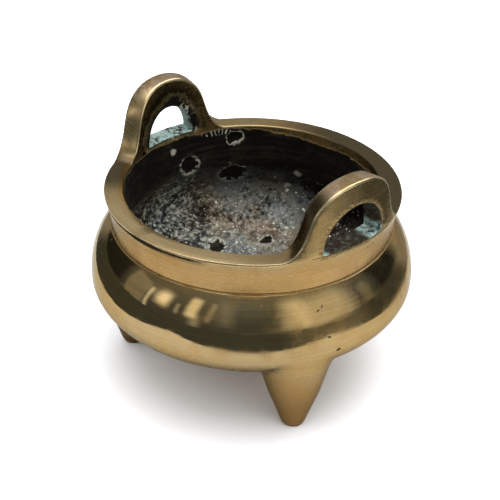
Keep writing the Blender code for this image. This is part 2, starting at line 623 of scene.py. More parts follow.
        cut((start, 0, 0), (-1, 0, 0), clear=True)
        cut((end, 0, 0), (1, 0, 0), clear=True)
        cut((0, self.crease_height, 0), (0, -1, 0), clear=True)
        for step in range(1, self.columns):
            cut((start + step * pitch, 0, 0), (1, 0, 0))
        for height in heights:
            cut((0, height, 0), (0, 1, 0))
        slanted = []
        for edge in plate.edges:
            span = edge.verts[0].co - edge.verts[1].co
            across = abs(span.x) > self.merge / 4
            along = abs(span.y) > self.merge / 4
            flat = all(abs(face.normal.z) > 0.99999 for face in edge.link_faces)
            if across and along and flat and len(edge.link_faces) == 2:
                slanted.append(edge)
        bmesh.ops.dissolve_edges(plate, edges=slanted, use_verts=True)
        plate.to_mesh(band.data)
        plate.free()

    def neck_share(self, height: float) -> float:
        """How far up the neck a height is, from 0 at the crease to 1 at the lip and above it."""
        return min((height - self.crease_height) / (self.lip_height - self.crease_height), 1.0)

    def outer_radius(self, height: float) -> float:
        """Neck's and handles' outer radius at a height."""
        share = self.neck_share(height)
        flare = (self.lip_radius - self.crease_radius) * share
        return self.crease_radius + flare - self.neck_hollow * math.sin(max(share, 0.0) * math.pi)

    def inner_radius(self, height: float) -> float:
        """Throat's and handles' inner radius at a height."""
        throat = self.crease_radius - self.neck_wall
        return throat + (self.lip_radius - self.lip_width - throat) * self.neck_share(height)

    def roll_up(self, place: Vector) -> Vector:
        """Where a point of the flat plate lies once the plate is bent round.

        Args:
            place: Distance round, height and thickness.

        Returns:
            The point on the vessel.
        """
        outward = place.z / self.lip_width + 0.5
        radius = self.inner_radius(place.y) * (1 - outward) + self.outer_radius(place.y) * outward
        return spoke(place.x / self.lip_radius, radius) + Vector((0, 0, place.y))

    def neck_and_handles(self) -> bpy.types.Object:
        """Neck, lip and handles, open below at the crease, with their marks for the finish."""
        band = self.flat_band()
        trees = [self.outline_tree(outline) for outline in self.band_outlines()]
        self.sharpen_lip(band, trees)
        self.cut_grid(band)
        mesh = band.data
        count = len(mesh.vertices)
        marks = {
            name: mesh.attributes.new(name, "FLOAT", "POINT").data
            for name in ("inner", "edge", "opening")
        }
        for number in range(count):
            vert = mesh.vertices[number]
            flat = Vector((vert.co.x, vert.co.y, 0.0))
            marks["inner"][number].value = 0.5 - vert.co.z / self.lip_width
            marks["edge"][number].value = min(trees[0].find(flat)[2] / MM, FAR_MM)
            marks["opening"][number].value = min(min(tree.find(flat)[2] for tree in trees[1:]) / MM, FAR_MM)
            vert.co = self.roll_up(vert.co)
        return band

    def shoulder_profile(self) -> list[Point2]:
        """Outer points (radius, height) from the crease down to the belly's middle."""
        rise = self.crease_height - self.belly_height
        power = self.shoulder_power
        cut_off = 1 - (self.crease_radius / self.belly_radius) ** power
        half_height = rise / cut_off ** (1 / power)
        points = []
        for step in range(self.shoulder_steps):
            up = rise * math.cos(step / self.shoulder_steps * math.pi / 2)
            share = 1 - (up / half_height) ** power
            points.append((self.belly_radius * share ** (1 / power), self.belly_height + up))
        return points

    def bowl_point(self, radius: float, depth: float, turned: float) -> Point2:
        """Point of a bowl's profile below the belly's middle.

        Args:
            radius: The bowl's radius at its top.
            depth: Its depth below the belly's middle.
            turned: Angle down the profile, from 0 at the top to a quarter turn on the axis.

        Returns:
            The point's radius and height.
        """
        power = 2 / self.underside_power
        across = radius * max(math.cos(turned), 0.0) ** power
        return across, self.belly_height - depth * math.sin(turned) ** power

    def outside_profile(self) -> list[Point2]:
        """Belly's outer points from the crease down and in to the axis."""
        drop = self.belly_height - self.underside_height
        points = self.shoulder_profile()
        for step in range(self.underside_steps + 1):
            turned = step / self.underside_steps * math.pi / 2
            points.append(self.bowl_point(self.belly_radius, drop, turned))
        points[-1] = (0.0, self.underside_height)

        def pitch(radius: float, height: float) -> float:
            """Gap between two rows: finest where the feet grow out of the underside."""
            if height > self.belly_height:
                return 1.3 * MM
            return 0.62 * MM if radius > 33 * MM else 2.4 * MM

        return respaced(points, pitch)

    def inside_profile(self) -> list[Point2]:
        """Hollow's points from the axis out and up to the throat."""
        across = self.belly_radius - self.belly_wall
        floor = self.underside_height + self.floor_wall
        throat = self.crease_radius - self.neck_wall
        rise = self.crease_height - self.belly_height
        points = []
        for step in range(self.hollow_steps + 1):
            turned = (1 - step / self.hollow_steps) * math.pi / 2
            points.append(self.bowl_point(across, self.belly_height - floor, turned))
        points[0] = (0.0, floor)
        for step in range(1, self.throat_steps + 1):
            share = step / self.throat_steps
            out = throat + (across - throat) * (1 + math.cos(share * math.pi)) / 2
            points.append((out, self.belly_height + rise * share))
        points[-1] = (throat, self.crease_height)
        return respaced(points, lambda radius, height: 1.15 * MM)

    def wall(self, face: Face) -> list[Point2]:
        """Follow one face of the wall from the axis up to the handles' tops.

        Args:
            face: Which face.

        Returns:
            Its points (radius, height).
        """
        top = self.lip_height + self.handle_rise
        if face is Face.INNER:
            points = self.inside_profile()
            radius = self.inner_radius
        else:
            points = self.outside_profile()[::-1]
            radius = self.outer_radius
        for height in (self.lip_height, top):
            points.append((radius(height), height))
        return points

    def mark_frame(self, mark: Mark) -> Matrix:
        """Lay a mark on its wall.

        Args:
            mark: The mark.

        Returns:
            Its centre, and its axes: X round the wall, Y up it and Z away from the vessel's axis.
        """
        points = self.wall(mark.face)
        spans = zip(points, points[1:])
        low, high = next(span for span in spans if span[0][1] <= mark.height <= span[1][1] != span[0][1])
        share = (mark.height - low[1]) / (high[1] - low[1])
        radius = low[0] + (high[0] - low[0]) * share
        azimuth = math.radians(mark.azimuth_deg)
        out = spoke(azimuth)
        along = Vector((-out.y, out.x, 0.0))
        up = (out * (high[0] - low[0]) + Vector((0, 0, high[1] - low[1]))).normalized()
        turn = Matrix((along, up, along.cross(up))).transposed()
        turn = turn @ Matrix.Rotation(math.radians(mark.lean_deg), 3, "Z")
        frame_at = turn.to_4x4()
        frame_at.translation = out * radius + Vector((0, 0, mark.height))
        return frame_at

    def press_hollows(self, piece: bpy.types.Object) -> None:
        """Press the casting's shallow hollows into its inner wall.

        Args:
            piece: The whole casting.
        """
        inner = piece.data.attributes["inner"].data
        places = [(mark, self.mark_frame(mark)) for mark in self.hollows]
        places = [(mark, at, at.inverted()) for mark, at in places]
        for number, vert in enumerate(piece.data.vertices):
            if inner[number].value < 0.97:
                continue
            for mark, at, back in places:
                local = back @ vert.co
                reach = math.hypot(local.x / mark.half_width, local.y / mark.half_height)
                if reach < 1.6 and abs(local.z) < 8 * MM:
                    dent = 1 - smoothstep(0.72, 1.0, reach)
                    rim = smoothstep(0.85, 1.08, reach) * (1 - smoothstep(1.12, 1.5, reach))
                    push = self.hollow_depth * dent - self.hollow_rim * rim
                    vert.co += at.to_3x3() @ Vector((0, 0, push))

    def press_lap(self, piece: bpy.types.Object) -> None:
        """Press the groove of the cold lap in below the lip's outer edge.

        Args:
            piece: The whole casting.
        """
        inner = piece.data.attributes["inner"].data
        for number, vert in enumerate(piece.data.vertices):
            azimuth = math.degrees(math.atan2(vert.co.y, vert.co.x))
            reach = smoothstep(self.lap_from_deg, self.lap_from_deg + 8, azimuth)
            reach *= 1 - smoothstep(self.lap_to_deg - 10, self.lap_to_deg, azimuth)
            away = abs(self.lip_height - self.lap_below_lip - vert.co.z)
            groove = 1 - smoothstep(0.1 * MM, 0.55 * MM, away)
            if inner[number].value < 0.03 and reach * groove > 0:
                radius = math.hypot(vert.co.x, vert.co.y)
                shrink = 1 - self.lap_depth * reach * groove / radius
                vert.co = (vert.co.x * shrink, vert.co.y * shrink, vert.co.z)

    def belly(self) -> bpy.types.Object:
        """Turn the belly's outside and inside about the axis, open above at the crease."""
        mesh = bpy.data.meshes.new("belly")
        sketch = bmesh.new()
        inner = sketch.verts.layers.float.new("inner")
        edge = sketch.verts.layers.float.new("edge")
        opening = sketch.verts.layers.float.new("opening")
        turned = Matrix.Rotation(math.radians(self.seam_deg), 3, "Z")
        for mark, profile in ((0.0, self.outside_profile()), (1.0, self.inside_profile())):
            rail = []
            for radius, height in profile:
                vert = sketch.verts.new(turned @ Vector((radius, 0.0, height)))
                vert[inner] = mark
                vert[edge] = FAR_MM
                vert[opening] = FAR_MM
                rail.append(vert)
            for first, second in zip(rail, rail[1:]):
                sketch.edges.new((first, second))
        sketch.to_mesh(mesh)
        sketch.free()
        piece = bpy.data.objects.new("belly", mesh)
        bpy.context.scene.collection.objects.link(piece)
        only(piece)
        screw = piece.modifiers.new("turn", "SCREW")
        screw.steps = self.columns
        screw.render_steps = self.columns
        screw.use_merge_vertices = True
        screw.merge_threshold = self.merge / 2
        bpy.ops.object.modifier_apply(modifier=screw.name)
        return piece

    def cone(self, reach: float) -> float:
        """Height of a bare foot at a distance from its own axis."""
        start = self.sole_radius + self.sole_round
        steep = max(reach - self.foot_steepens_from, 0.0)
        height = self.foot_slope * (reach - start) + self.foot_steepening * steep**2
        soft = self.sole_round
        return max((height + math.sqrt(height**2 + soft**2)) / 2 - soft * 0.07, 0.0)

    def shape_feet(self, belly: bpy.types.Object) -> None:
        """Crowd the underside's columns towards the feet, then draw the feet down out of it.

        Args:
            belly: The turned belly.
        """
        first = math.radians(self.foot_azimuths_deg[0])
        centres = [spoke(math.radians(deg), self.foot_circle_radius) for deg in self.foot_azimuths_deg]
        marks = belly.data.attributes["inner"].data
        for number, vert in enumerate(belly.data.vertices):
            if marks[number].value > 0.5 or vert.co.z > self.belly_height:
                continue
            radius = math.hypot(vert.co.x, vert.co.y)
            below = smoothstep(self.belly_height, self.belly_height - 9 * MM, vert.co.z)
            azimuth = math.atan2(vert.co.y, vert.co.x)
            azimuth -= self.foot_crowding * below * math.sin(3 * (azimuth - first))
            place = spoke(azimuth, radius)
            height = vert.co.z
            for centre in centres:
                reach = (place - centre).length
                if reach < 30 * MM:
                    height = smooth_lower(height, self.cone(reach), self.foot_blend)
            vert.co = (place.x, place.y, max(height, 0.0))

    def crust_floor(self, belly: bpy.types.Object) -> None:
        """Lay a thin uneven crust of ash on the bowl's floor.

        Args:
            belly: The turned belly.
        """
        marks = belly.data.attributes["inner"].data
        for number, vert in enumerate(belly.data.vertices):
            if marks[number].value < 0.5:
                continue
            low = 1 - smoothstep(30 * MM, 44 * MM, vert.co.z)
            rough = noise.fractal(vert.co / self.crust_grain, 0.8, 2.1, 4)
            vert.co.z += low * (0.35 + 0.45 * rough) * MM

    def build(self) -> bpy.types.Object:
        """Make the whole casting as one closed mesh.

        Returns:
            The finished object.
        """
        band = self.neck_and_handles()
        belly = self.belly()
        self.shape_feet(belly)
        self.crust_floor(belly)
        only(band)
        belly.select_set(True)
        bpy.ops.object.join()
        weld(self.merge, turn_out=True)
        band.name = "censer_casting"
        band.data.name = "censer_casting"
        self.press_hollows(band)
        self.press_lap(band)
        bpy.ops.object.shade_smooth_by_angle(angle=math.radians(self.crisp_deg))
        return band


def respaced(points: Sequence[Point2], pitch: Callable[[float, float], float]) -> list[Point2]:
    """Space a polyline's points evenly along it.

    Args:
        points: The polyline, from its start to its end.
        pitch: Function of a point that gives the wanted gap there.

    Returns:
        Points from the same start to the same end.
    """
    kept = [points[0]]
    for point in points[1:-1]:
        if math.dist(kept[-1], point) >= pitch(*point):
            kept.append(point)
    kept.append(points[-1])
    return kept


def smooth_lower(first: float, second: float, blend: float) -> float:
    """Lower of two heights, rounded over where they meet.

    Args:
        first: One height.
        second: The other height.
        blend: Difference of the two at which the rounding starts.

    Returns:
        The blended height.
    """
    gap = max(blend - abs(first - second), 0.0) / blend
    return min(first, second) - gap * gap * blend / 4


@dataclass(frozen=True)
class Panel:
    """A soft-edged patch of light in the studio, seen from the censer.

    Its side angle counts from the camera to the picture's right."""

    side_deg: float
    rise_deg: float
    half_width: float
    half_height: float
    soft: float
    light: float


@dataclass(frozen=True)
class Surroundings:
    """What the polished metal mirrors: a dark room in front, and white card behind and below."""

    dark: Colour = (0.105, 0.12, 0.13)
    dark_high: Colour = (0.30, 0.33, 0.34)
    white: Colour = (0.58, 0.58, 0.59)
    back_high: Colour = (0.54, 0.54, 0.55)
    zenith: Colour = (2.5, 2.5, 2.55)
    seen: Colour = (0.93, 0.93, 0.94)
    dark_left_deg: float = -136.0
    dark_right_deg: float = 127.0
    panels: tuple[Panel, ...] = (
        Panel(-87.0, 8.0, 8.5, 21.0, 2.0, 0.27),
        Panel(-75.5, 10.0, 1.6, 16.0, 1.4, 0.85),
        Panel(-64.0, 22.0, 4.6, 9.0, 4.0, 1.65),
        Panel(-70.0, 22.0, 7.0, 6.0, 6.0, 0.35),
        Panel(-51.5, 17.0, 1.2, 7.0, 1.6, 0.5),
        Panel(-41.5, 25.0, 3.6, 13.0, 2.6, 1.25),
        Panel(-37.5, 8.0, 3.0, 9.0, 4.0, 0.45),
        Panel(-29.0, 24.0, 1.6, 14.0, 1.6, 0.45),
        Panel(-18.0, 26.0, 6.0, 18.0, 6.0, 0.18),
        Panel(31.0, 24.0, 8.0, 20.0, 6.0, 0.85),
        Panel(53.0, 18.0, 19.0, 22.0, 9.0, 0.78),
        Panel(45.0, -8.0, 30.0, 16.0, 10.0, 0.24),
        Panel(86.0, 4.0, 3.6, 20.0, 2.4, 0.22),
    )

    def build(self, right: Vector, back: Vector) -> bpy.types.World:
        """Make the world.

        Args:
            right: The camera's level right.
            back: Level direction from the censer to the camera.

        Returns:
            The world.
        """
        world = bpy.data.worlds.new("studio")
        world.use_nodes = True
        sheet = Sheet(world.node_tree)
        way = sheet.place("Generated")
        _, _, high = sheet.split(way)
        rise = sheet.maths("ARCSINE", high) * math.degrees(1)
        side = sheet.side_of(way, right, back)
        dark = sheet.mix(rise.ease(5, 60), self.dark, self.dark_high)
        light = sheet.mix(rise.ease(8, 34), self.white, self.back_high)
        left, turn = self.dark_left_deg, self.dark_right_deg
        room = side.within(left - 3, left + 3, turn - 9, turn + 7)
        colour = sheet.mix(room, light, dark)
        corner = side.fall(-104, -97) + side.ease(92, 100)
        colour = sheet.shade(colour, 1 - corner.least(1.0) * room * 0.72 * rise.fall(25, 45))
        for panel in self.panels:
            wide = (abs(side - panel.side_deg) - panel.half_width) / panel.soft
            tall = (abs(rise - panel.rise_deg) - panel.half_height) / (panel.soft * 1.5)
            lit = wide.fall(-1, 1) * tall.fall(-1, 1) * panel.light
            colour = sheet.vector("ADD", colour, sheet.joined(lit, lit, lit))
        colour = sheet.mix(rise.ease(54, 66), colour, self.zenith)
        seen = sheet.field("ShaderNodeLightPath", {}, {}, "Is Camera Ray")
        colour = sheet.mix(seen, colour, self.seen)
        shader = sheet.node("ShaderNodeBackground", values={"Color": colour, "Strength": 1.0})
        sheet.close("ShaderNodeOutputWorld", shader)
        return world


@dataclass
class Studio:
    """Pale floor, soft light, the camera at the photograph's angle, and what the metal mirrors."""

    azimuth_deg: float = 47.8
    elevation_deg: float = 32.39
    distance: float = 0.522
    target_height: float = 0.0489
    slide: float = -0.0007
    roll_deg: float = 1.03
    lens: float = 93.65
    floor_size: float = 8.0
    floor_gap: float = 0.00005
    floor_seen: Colour = (0.93, 0.93, 0.935)
    floor_met: Colour = (0.62, 0.62, 0.625)
    sheet_front: float = 0.142
    sheet_left: float = 0.15
    sheet_right: float = 0.145
    sheet_back: float = 0.24
    beyond: float = 4.0
    surround_height: float = 0.0004
    ground_dark: Colour = (0.09, 0.105, 0.11)
    ground_lit: Colour = (0.26, 0.27, 0.26)
    ground_pale: Colour = (0.48, 0.48, 0.49)
    key_power: float = 11.0
    key_size: float = 1.2
    key_reach: float = 1.8
    fill_power: float = 66.0
    fill_size: float = 4.0
    fill_height: float = 1.3

    def axes(self) -> tuple[Vector, Vector, Vector]:
        """Camera's right, up and backward directions before its roll."""
        azimuth = math.radians(self.azimuth_deg)
        elevation = math.radians(self.elevation_deg)
        back = Vector(
            (
                math.sin(azimuth) * math.cos(elevation),
                -math.cos(azimuth) * math.cos(elevation),
                math.sin(elevation),
            )
        )
        right = Vector((math.cos(azimuth), math.sin(azimuth), 0.0))
        return right, back.cross(right), back

    def add_camera(self) -> None:
        """Add the camera and make it the scene's own."""
        right, up, back = self.axes()
        place = Vector((0, 0, self.target_height)) + back * self.distance + right * self.slide
        roll = math.radians(self.roll_deg)
        rolled_right = right * math.cos(roll) + up * math.sin(roll)
        rolled_up = up * math.cos(roll) - right * math.sin(roll)
        bpy.ops.object.camera_add()
        camera = bpy.context.active_object
        camera.name = "camera"
        matrix = Matrix((rolled_right, rolled_up, back)).transposed().to_4x4()
        matrix.translation = place
        camera.matrix_world = matrix
        camera.data.lens = self.lens
        camera.data.sensor_width = 36.0
        camera.data.clip_start = 0.01
        bpy.context.scene.camera = camera

    def add_floor(self) -> None:
        """Add the pale floor."""
        deselect()
        bpy.ops.mesh.primitive_plane_add(size=self.floor_size, location=(0, 0, -self.floor_gap))
        floor = bpy.context.active_object
        floor.name = "floor"
        material, sheet = new_material("floor")
        seen = sheet.field("ShaderNodeLightPath", {}, {}, "Is Camera Ray")
        values = {"Base Color": sheet.mix(seen, self.floor_met, self.floor_seen), "Roughness": 0.9}
        shader = sheet.node("ShaderNodeBsdfPrincipled", values={**values, "Specular IOR Level": 0.2})
        sheet.close("ShaderNodeOutputMaterial", shader)
        floor.data.materials.append(material)

    def add_surround(self, right: Vector, back: Vector) -> None:
        """Add the dimmer ground round the pale sheet, dark in front, which only mirrored rays meet: a
        glowing sheet that paints reflections.

        Args:
            right: The camera's level right.
            back: Level direction from the censer to the camera.
        """
        far = self.beyond
        sheet_corners = [(-self.sheet_left, -self.sheet_back), (self.sheet_right, -self.sheet_back)]
        sheet_corners += [(self.sheet_right, self.sheet_front), (-self.sheet_left, self.sheet_front)]
        outlines = [[(-far, -far), (far, -far), (far, far), (-far, far)], sheet_corners]
        turned = [[right * across + back * front for across, front in line] for line in outlines]
        surround = flat_sheet("surround", [[(spot.x, spot.y) for spot in line] for line in turned])
        surround.location.z = self.surround_height
        material, sheet = new_material("surround")
        side = sheet.side_of(sheet.place(), right, back)
        dark = sheet.mix(side.within(15.0, 40.0, 60.0, 85.0), self.ground_dark, self.ground_lit)
        colour = sheet.mix(side.within(-140.0, -128.0, 112.0, 124.0), self.ground_pale, dark)
        # Painted reflection: the sheet glows by emission, though it is no lamp, to show a dim ground and a
        # dark room in the metal.
        shader = sheet.node("ShaderNodeEmission", values={"Color": colour, "Strength": 1.0})
        sheet.close("ShaderNodeOutputMaterial", shader)
        surround.data.materials.append(material)
        for rays in ("camera", "diffuse", "shadow", "transmission"):
            setattr(surround, f"visible_{rays}", False)

    def add_light(
        self, name: str, place: Vector, size: float, power: float, mirrored: bool = True
    ) -> None:
        """Add a square soft light that points at the censer.

        Args:
            name: The light's name.
            place: Where it hangs.
            size: Length of its side.
            power: Its power in watts.
            mirrored: Whether the metal mirrors it.
        """
        bpy.ops.object.light_add(type="AREA", location=place)
        light = bpy.context.active_object
        light.name = name
        light.data.shape = "SQUARE"
        light.data.size = size
        light.data.energy = power
        aim = Vector((0, 0, 0.05)) - place
        light.rotation_euler = aim.to_track_quat("-Z", "Y").to_euler()
        light.visible_glossy = mirrored

    def build(self) -> None:
        """Set up the whole studio."""
        self.add_camera()
        self.add_floor()
        right, _, back = self.axes()
        level = Vector((back.x, back.y, 0)).normalized()
        up = Vector((0, 0, 1))
        self.add_surround(right, level)
        key = (right * 0.55 - level * 0.45 + up) * self.key_reach
        self.add_light("key", key, self.key_size, self.key_power)
        self.add_light("fill", up * self.fill_height, self.fill_size, self.fill_power, mirrored=False)
        bpy.context.scene.world = Surroundings().build(right, level)
        bpy.context.scene.view_settings.view_transform = "Standard"


@dataclass(frozen=True)
class Surface:
    """Places and noises of the casting's surface that every layer of the finish reads."""

    sheet: Sheet
    place: bpy.types.NodeSocket
    wavy: bpy.types.NodeSocket
    x: Field
    y: Field
    z: Field
    radius: Field
    azimuth: Field
    above: Field
    along: Field
    inside: Field
    outer: Field
    edge: Field
    opening: Field
    lines: Field
    bands: Field
    broad: Field
    patches: Field
    fine: Field

    @staticmethod
    def read(sheet: Sheet, casting: Casting) -> Surface:
        """Set up the places, in millimetres and degrees, and the noises.

        Args:
            sheet: The material's node tree.
            casting: The casting, for the lip's height and radius.

        Returns:
            What the layers read.
        """
        place = sheet.place()
        x, y, z = (part / MM for part in sheet.split(place))
        radius = sheet.maths("SQRT", x * x + y * y) + 0.001
        east = x / radius
        north = y / radius
        round_fine = sheet.joined(east * 2.4, north * 2.4, z * 1.6 - radius * 0.75)
        round_broad = sheet.joined(east * 1.8, north * 1.8, z * 0.62 - radius * 0.3)
        azimuth = sheet.angle(y, x)
        inner = sheet.attribute("inner")
        return Surface(
            sheet,
            place,
            sheet.drift(place, 210.0, 0.0042),
            x,
            y,
            z,
            radius,
            azimuth,
            z - casting.lip_height / MM,
            azimuth * (math.radians(1) * casting.lip_radius / MM),
            inner.ease(0.86, 0.97),
            inner.fall(0.2, 0.5),
            sheet.attribute("edge"),
            sheet.attribute("opening"),
            sheet.noise(round_fine, 1.0, 2.0, 0.6),
            sheet.noise(round_broad, 1.0, 2.0, 0.6),
            sheet.noise(place, 38.0, 2.0),
            sheet.noise(place, 130.0, 3.0, 0.65),
            sheet.noise(place, 520.0, 4.0, 0.72),
        )


@dataclass
class Coat:
    """The finish as its layers build it up."""

    sheet: Sheet
    colour: Any
    rough: Field
    covered: Field
    height: Field

    def lay(self, share: Field | float, colour: Any) -> None:
        """Cover a share of the finish with another colour."""
        self.colour = self.sheet.mix(share, self.colour, colour)


@dataclass(frozen=True)
class BronzeFinish:
    """Polished, hand-rubbed bronze with tarnish, soot, ash crust and verdigris."""

    metal: Colour = (0.435, 0.300, 0.125)
    metal_warm: Colour = (0.43, 0.250, 0.085)
    metal_pale: Colour = (0.44, 0.335, 0.175)
    lip_tarnish: Colour = (0.25, 0.185, 0.115)
    brown_tarnish: Colour = (0.105, 0.082, 0.045)
    # Near-black of real pits, pores, lap and ticks, also used for the painted shade line along the crease.
    pit: Colour = (0.015, 0.011, 0.008)
    olive: Colour = (0.115, 0.090, 0.036)
    rubbed: Colour = (0.62, 0.46, 0.34)
    # Bright metal: real rubbed-through metal on the lip's front, and a painted highlight along the edges.
    fresh_metal_and_highlight: Colour = (0.80, 0.64, 0.36)
    soot: Colour = (0.004, 0.0034, 0.0025)
    soot_brown: Colour = (0.020, 0.015, 0.009)
    crust: Colour = (0.50, 0.50, 0.40)
    ash: Colour = (0.36, 0.335, 0.27)
    ash_brown: Colour = (0.33, 0.235, 0.155)
    ash_blue: Colour = (0.27, 0.285, 0.275)
    speck: Colour = (0.85, 0.85, 0.76)
    verdigris: Colour = (0.34, 0.46, 0.42)
    verdigris_dark: Colour = (0.05, 0.062, 0.058)
    pits: tuple[Mark, ...] = (
        Mark(Face.OUTER, -12.1, 42.0 * MM, 1.25 * MM, 0.62 * MM, 18.0),
        Mark(Face.OUTER, -15.4, 48.0 * MM, 1.1 * MM, 0.45 * MM),
        Mark(Face.OUTER, -18.4, 58.6 * MM, 0.9 * MM, 0.3 * MM, 40.0),
        Mark(Face.OUTER, -16.6, 59.6 * MM, 0.7 * MM, 0.28 * MM, 60.0),
        Mark(Face.OUTER, 22.0, 46.5 * MM, 0.6 * MM, 0.45 * MM),
        Mark(Face.OUTER, 118.0, 52.0 * MM, 1.0 * MM, 0.6 * MM, -20.0),
        Mark(Face.OUTER, 200.0, 47.0 * MM, 0.8 * MM, 0.6 * MM),
    )
    blobs: tuple[Mark, ...] = (
        Mark(Face.INNER, 116.4, 57.4 * MM, 1.9 * MM, 3.2 * MM, 12.0),
        Mark(Face.INNER, 122.5, 47.5 * MM, 1.7 * MM, 2.2 * MM),
        Mark(Face.INNER, 128.0, 51.5 * MM, 0.9 * MM, 0.9 * MM),
        Mark(Face.INNER, 180.0, 73.1 * MM, 1.8 * MM, 1.8 * MM),
        Mark(Face.INNER, 150.0, 30.2 * MM, 1.2 * MM, 1.6 * MM),
        Mark(Face.INNER, 40.0, 44.0 * MM, 2.0 * MM, 1.8 * MM),
    )
    strokes: Mark = Mark(Face.INNER, 156.6, 77.0 * MM, 7.6 * MM, 1.7 * MM)

    def nearest(self, sheet: Sheet, casting: Casting, marks: Sequence[Mark], place: Any) -> Field:
        """Find how far a place is from the nearest of some marks.

        Args:
            sheet: The material's node tree.
            casting: The casting that carries the marks.
            marks: The marks.
            place: The place, in metres.

        Returns:
            The distance, where 1 is a mark's own outline.
        """
        found = None
        for mark in marks:
            at = casting.mark_frame(mark)
            values = {
                "Vector": place,
                "Location": at.translation,
                "Rotation": at.to_euler(),
                "Scale": (mark.half_width, mark.half_height, max(mark.half_width, mark.half_height) * 3),
            }
            local = sheet.node("ShaderNodeMapping", {"vector_type": "TEXTURE"}, values).outputs[0]
            reach = sheet.measure("LENGTH", local)
            found = reach if found is None else found.least(reach)
        return found

    def lay_metal(self, on: Surface) -> Coat:
        """Bare bronze of the outside, rubbed round and round, with its fine pores.

        Args:
            on: The surface.

        Returns:
            The finish so far.
        """
        sheet = on.sheet
        low = on.z.fall(14.0, 38.0)
        colour = sheet.mix(on.broad.ease(0.42, 0.62) * 0.7, self.metal, self.metal_pale)
        colour = sheet.mix(on.patches.ease(0.45, 0.7) * 0.45, colour, self.metal_warm)
        warm = low.most(on.z.within(62.0, 66.0, 74.0, 79.0) * 0.7)
        colour = sheet.mix(warm * 0.85, colour, self.metal_warm)
        brushing = on.lines * 0.44 + on.bands * 0.16 + on.patches * 0.12 + on.fine * 0.28
        colour = sheet.shade(colour, brushing + 0.50)
        # Painted shade: the metal darkens towards the bottom, and a painted shadow of the belly darkens the
        # left rear foot further.
        left_foot_shadow = low * on.azimuth.about(-139.0, 14.0, 30.0)
        colour = sheet.shade(colour, 1 - low * 0.20 - left_foot_shadow * 0.40)
        polish = on.z.within(40.0, 48.0, 63.5, 65.2)
        dim = on.azimuth.ease(-62.0, -18.0) * (0.35 + on.patches.ease(0.35, 0.65) * 0.9)
        rough = 0.24 + on.patches.ease(0.35, 0.7) * 0.08 + low * 0.08 + on.lines.sway(0.12)
        rough = rough - polish * (0.215 - dim * 0.11)
        pores = sheet.grains(on.place, 640.0, 0.34, 0.05) * on.broad.ease(0.46, 0.56)
        colour = sheet.mix(pores * 0.8, colour, self.pit)
        height = on.broad.sway(0.28) + (on.lines - 0.5) * (0.010 + dim * 0.006)
        height = height + on.patches.sway(0.02) * (1 - polish * 0.7)
        return Coat(sheet, colour, rough, pores * 0.6, height)

    def cut_lap(self, on: Surface, coat: Coat, casting: Casting) -> None:
        """Cold lap under the lip's outer edge with ticks beyond it, and a painted shade line along the
        crease.

        Args:
            on: The surface.
            coat: The finish so far.
            casting: The casting, for the places of its marks.
        """
        sheet = on.sheet
        left = on.azimuth.fall(-95.0, -60.0)
        # Painted shade: a dark line along the crease where the neck meets the belly, strongest on the left.
        crease = abs(on.z - casting.crease_height / MM + on.bands.sway(0.9)).fall(0.12, 0.6)
        crease = crease * (0.55 + left * 0.25 + on.patches.ease(0.5, 0.62) * 0.3)
        reach = on.azimuth.within(-117.0, -108.0, -66.0, -56.0)
        wide = on.azimuth.within(-98.0, -88.0, -82.0, -74.0)
        thick = 0.62 + wide * 0.5 + on.patches.sway(0.7)
        under_lip = abs(on.above + casting.lap_below_lip / MM + on.bands.sway(0.3))
        lap = under_lip.fall(thick * 0.7, thick + 0.08)
        ticks = sheet.maths("SINE", (on.along + on.above * 2.4) * 3.1 + on.patches * 6.0).ease(0.35, 0.85)
        ticks = ticks * on.azimuth.within(-84.0, -78.0, -66.0, -58.0)
        ticks = ticks * on.above.within(-3.4, -2.7, -1.2, -0.8)
        # The real lap and ticks together with the painted crease shade, all laid in near-black.
        cut = (lap * reach).most(ticks * 0.85).most(crease * 0.8) * on.outer
        coat.lay(cut * 0.96, self.pit)
        coat.covered = coat.covered.most(cut * 0.9)
        coat.height = coat.height - cut * 0.3
        # Painted highlight, partly real wear: bright bare metal in a thin line along the outer and handle
        # edges, where the key light glints.
        worn_edge_and_highlight = on.outer.most(on.above.ease(1.0, 4.0)) * on.edge.within(0.02, 0.25, 0.55, 1.15)
        coat.lay(worn_edge_and_highlight * (0.6 + on.patches * 0.7) * (1 - cut) * 0.8, self.fresh_metal_and_highlight)

    def film_lip(self, on: Surface, coat: Coat) -> None:
        """Brownish film on the lip's top, rubbed through in places, and pink wear on the crowns.

        Args:
            on: The surface.
            coat: The finish so far.
        """
        top = on.edge.fall(0.25, 0.7) * on.above.fall(0.6, 3.0) * on.above.ease(-1.0, -0.4)
        front = on.azimuth.about(-82.0, 26.0, 50.0)
        film = (on.patches.ease(0.40, 0.65) * 0.45 + on.lines * 0.2) * (1 - front * 0.75)
        coat.lay((top * film).least(1.0), self.lip_tarnish)
        far = on.azimuth.about(-153.0, 16.0, 32.0)
        side = on.azimuth.about(62.0, 34.0, 76.0)
        brown = top * far.most(side) * (0.75 + on.patches * 0.6)
        coat.lay(brown.least(0.95), self.brown_tarnish)
        coat.lay(top * front * (0.10 + on.lines * 0.6), self.fresh_metal_and_highlight)
        rim = on.above.ease(2.0, 6.0) * on.edge.fall(0.5, 1.4)
        coat.lay(rim * on.broad.fall(0.4, 0.6) * 0.55, self.lip_tarnish)
        crown = rim * on.above.ease(20.0, 25.0) * on.patches.ease(0.42, 0.55)
        coat.lay(crown * 0.6, self.rubbed)

